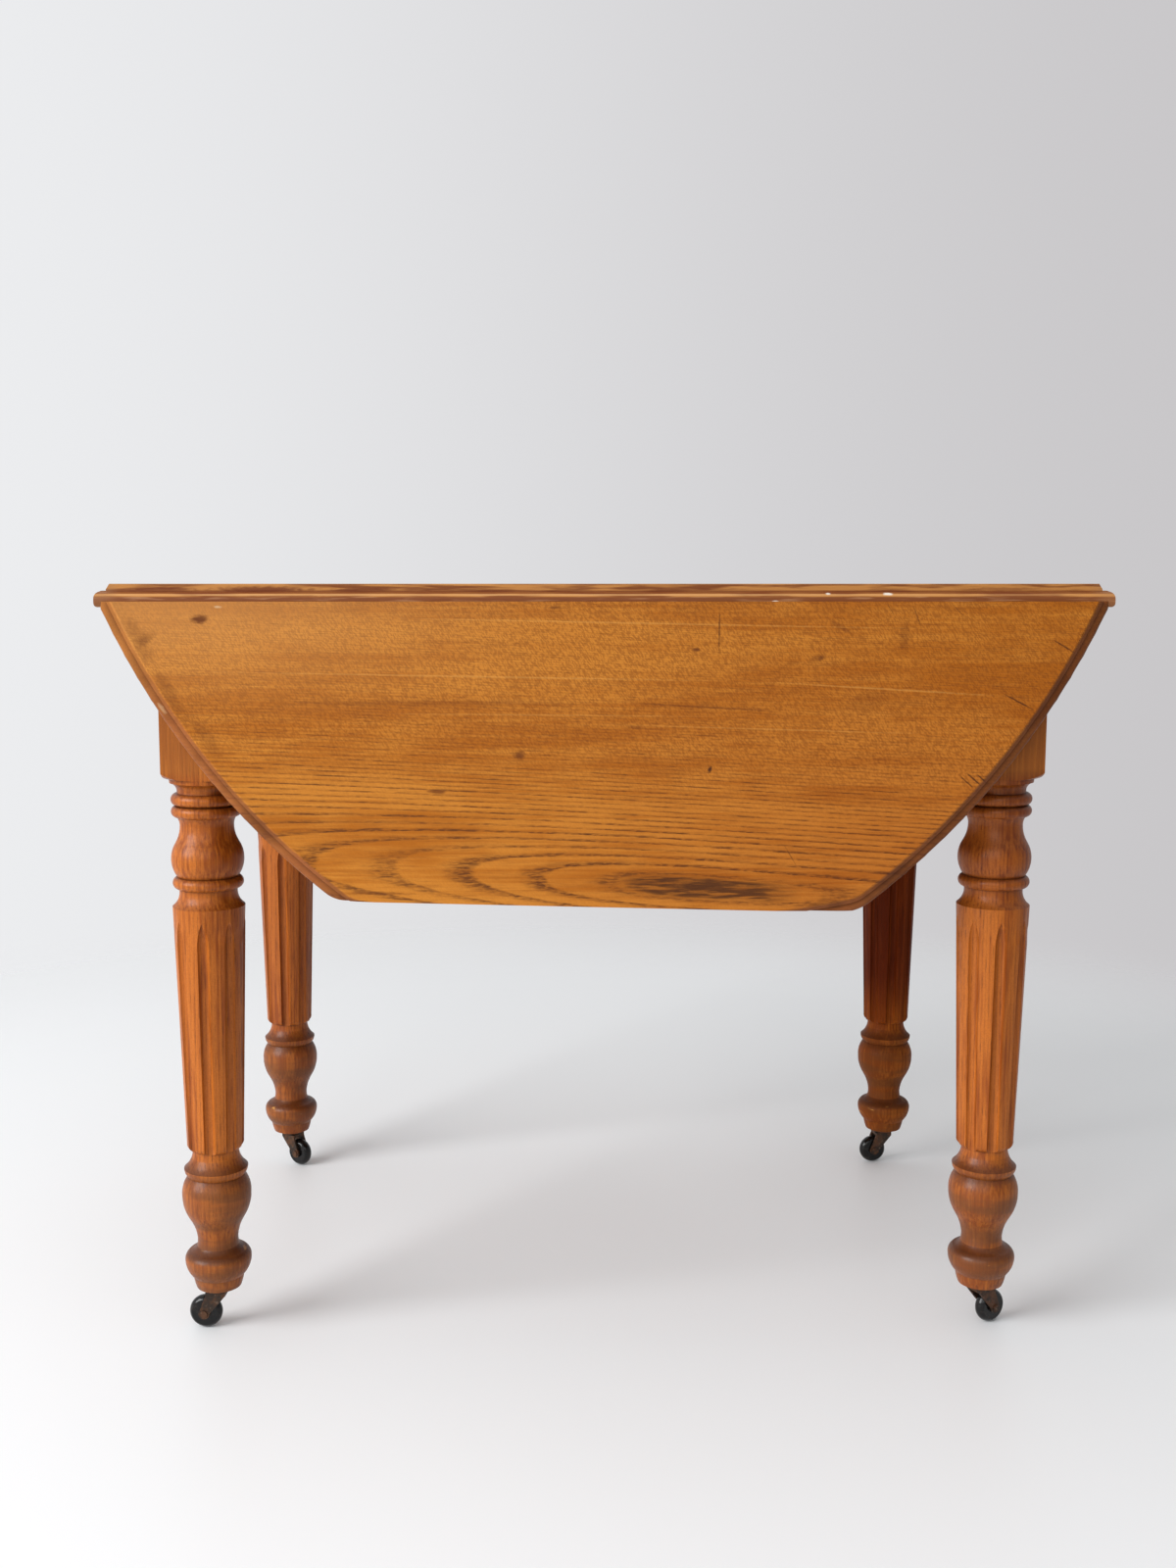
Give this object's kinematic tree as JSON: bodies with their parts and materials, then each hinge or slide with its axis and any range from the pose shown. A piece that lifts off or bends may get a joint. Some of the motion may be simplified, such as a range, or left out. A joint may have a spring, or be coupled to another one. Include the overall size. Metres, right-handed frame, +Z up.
{
  "type": "drop-leaf table",
  "caption": "Drop-leaf dining table: moulded top with rule joints, rounded hinged leaves on swinging props, turned fluted legs and swivel casters.",
  "frame": {"origin": "on the floor, under the middle of the table", "axes": "+X along the table to the right, +Y from the front leaf to the rear leaf, +Z up"},
  "size_m": [0.922, 0.621, 0.737],
  "materials": {
    "top_oak": "stained and varnished oak, worn at the edges",
    "leaf_oak": "golden varnished oak, plain sawn",
    "leg_oak": "reddish varnished oak, turned",
    "frame_oak": "plain oak, thinly finished",
    "hinge_iron": "dark, dull",
    "fastener_steel": "dull, slightly browned",
    "caster_iron": "brown patina",
    "wheel_black": "glossy black, hard"
  },
  "bodies": {
    "frame": {"top_panel": "top_oak", "leg_front_left": "leg_oak", "leg_front_right": "leg_oak", "leg_rear_left": "leg_oak", "leg_rear_right": "leg_oak", "side_rail_front": "frame_oak", "side_rail_rear": "frame_oak", "end_rail_left": "frame_oak", "end_rail_right": "frame_oak", "corner_block_front_left": "frame_oak", "corner_block_front_right": "frame_oak", "corner_block_rear_left": "frame_oak", "corner_block_rear_right": "frame_oak", "top_screws": "fastener_steel", "hinge_top_plate_front_left": "hinge_iron", "hinge_top_plate_front_right": "hinge_iron", "hinge_top_plate_rear_left": "hinge_iron", "hinge_top_plate_rear_right": "hinge_iron", "hinge_pins": "fastener_steel", "hinge_top_screws": "fastener_steel", "prop_bracket_front_left": "hinge_iron", "prop_bracket_front_right": "hinge_iron", "prop_bracket_rear_left": "hinge_iron", "prop_bracket_rear_right": "hinge_iron", "prop_bracket_screws": "fastener_steel", "prop_pins": "fastener_steel", "caster_socket_front_left": "caster_iron", "caster_socket_front_right": "caster_iron", "caster_socket_rear_left": "caster_iron", "caster_socket_rear_right": "caster_iron"},
    "front_leaf": {"leaf_front": "leaf_oak", "hinge_leaf_plate_front_left": "hinge_iron", "hinge_leaf_plate_front_right": "hinge_iron", "hinge_leaf_screws_front": "fastener_steel", "prop_cleats_front": "frame_oak"},
    "prop_front_left": {"prop_arm_front_left": "frame_oak"},
    "prop_front_right": {"prop_arm_front_right": "frame_oak"},
    "rear_leaf": {"leaf_rear": "leaf_oak", "hinge_leaf_plate_rear_left": "hinge_iron", "hinge_leaf_plate_rear_right": "hinge_iron", "hinge_leaf_screws_rear": "fastener_steel", "prop_cleats_rear": "frame_oak"},
    "prop_rear_left": {"prop_arm_rear_left": "frame_oak"},
    "prop_rear_right": {"prop_arm_rear_right": "frame_oak"},
    "swivel_front_left": {"caster_fork_front_left": "caster_iron", "caster_axle_front_left": "caster_iron"},
    "roller_front_left": {"caster_wheel_front_left": "wheel_black"},
    "swivel_front_right": {"caster_fork_front_right": "caster_iron", "caster_axle_front_right": "caster_iron"},
    "roller_front_right": {"caster_wheel_front_right": "wheel_black"},
    "swivel_rear_left": {"caster_fork_rear_left": "caster_iron", "caster_axle_rear_left": "caster_iron"},
    "roller_rear_left": {"caster_wheel_rear_left": "wheel_black"},
    "swivel_rear_right": {"caster_fork_rear_right": "caster_iron", "caster_axle_rear_right": "caster_iron"},
    "roller_rear_right": {"caster_wheel_rear_right": "wheel_black"}
  },
  "joints": [
    {"name": "leaf_front_hinge", "type": "hinge", "parent": "frame", "child": "front_leaf", "pos_m": [0, -0.295, 0.7215], "axis": [-1, 0, 0], "range_deg": [0, 90]},
    {"name": "prop_front_left_swing", "type": "hinge", "parent": "frame", "child": "prop_front_left", "pos_m": [-0.2, -0.275, 0.6465], "axis": [-1, 0, 0], "range_deg": [0, 111.78]},
    {"name": "prop_front_right_swing", "type": "hinge", "parent": "frame", "child": "prop_front_right", "pos_m": [0.2, -0.275, 0.6465], "axis": [-1, 0, 0], "range_deg": [0, 111.78]},
    {"name": "leaf_rear_hinge", "type": "hinge", "parent": "frame", "child": "rear_leaf", "pos_m": [0, 0.295, 0.7215], "axis": [1, 0, 0], "range_deg": [0, 90]},
    {"name": "prop_rear_left_swing", "type": "hinge", "parent": "frame", "child": "prop_rear_left", "pos_m": [-0.2, 0.275, 0.6465], "axis": [1, 0, 0], "range_deg": [0, 111.78]},
    {"name": "prop_rear_right_swing", "type": "hinge", "parent": "frame", "child": "prop_rear_right", "pos_m": [0.2, 0.275, 0.6465], "axis": [1, 0, 0], "range_deg": [0, 111.78]},
    {"name": "caster_front_left_swivel", "type": "hinge", "parent": "frame", "child": "swivel_front_left", "pos_m": [-0.38, -0.23, 0.04], "axis": [0, 0, 1], "continuous": true},
    {"name": "wheel_front_left_spin", "type": "hinge", "parent": "swivel_front_left", "child": "roller_front_left", "pos_m": [-0.39395, -0.22878, 0.0165], "axis": [-0.0872, -0.9962, 0], "continuous": true},
    {"name": "caster_front_right_swivel", "type": "hinge", "parent": "frame", "child": "swivel_front_right", "pos_m": [0.38, -0.23, 0.04], "axis": [0, 0, 1], "continuous": true},
    {"name": "wheel_front_right_spin", "type": "hinge", "parent": "swivel_front_right", "child": "roller_front_right", "pos_m": [0.39212, -0.223, 0.0165], "axis": [-0.5, 0.866, 0], "continuous": true},
    {"name": "caster_rear_left_swivel", "type": "hinge", "parent": "frame", "child": "swivel_rear_left", "pos_m": [-0.38, 0.23, 0.04], "axis": [0, 0, 1], "continuous": true},
    {"name": "wheel_rear_left_spin", "type": "hinge", "parent": "swivel_rear_left", "child": "roller_rear_left", "pos_m": [-0.36853, 0.22197, 0.0165], "axis": [0.5736, 0.8192, 0], "continuous": true},
    {"name": "caster_rear_right_swivel", "type": "hinge", "parent": "frame", "child": "swivel_rear_right", "pos_m": [0.38, 0.23, 0.04], "axis": [0, 0, 1], "continuous": true},
    {"name": "wheel_rear_right_spin", "type": "hinge", "parent": "swivel_rear_right", "child": "roller_rear_right", "pos_m": [0.36621, 0.22757, 0.0165], "axis": [0.1736, -0.9848, 0], "continuous": true}
  ],
  "couplings": [
    {"joint": "prop_front_left_swing", "follows": "leaf_front_hinge", "ratio": 1.2419},
    {"joint": "prop_front_right_swing", "follows": "leaf_front_hinge", "ratio": 1.2419},
    {"joint": "prop_rear_left_swing", "follows": "leaf_rear_hinge", "ratio": 1.2419},
    {"joint": "prop_rear_right_swing", "follows": "leaf_rear_hinge", "ratio": 1.2419}
  ]
}
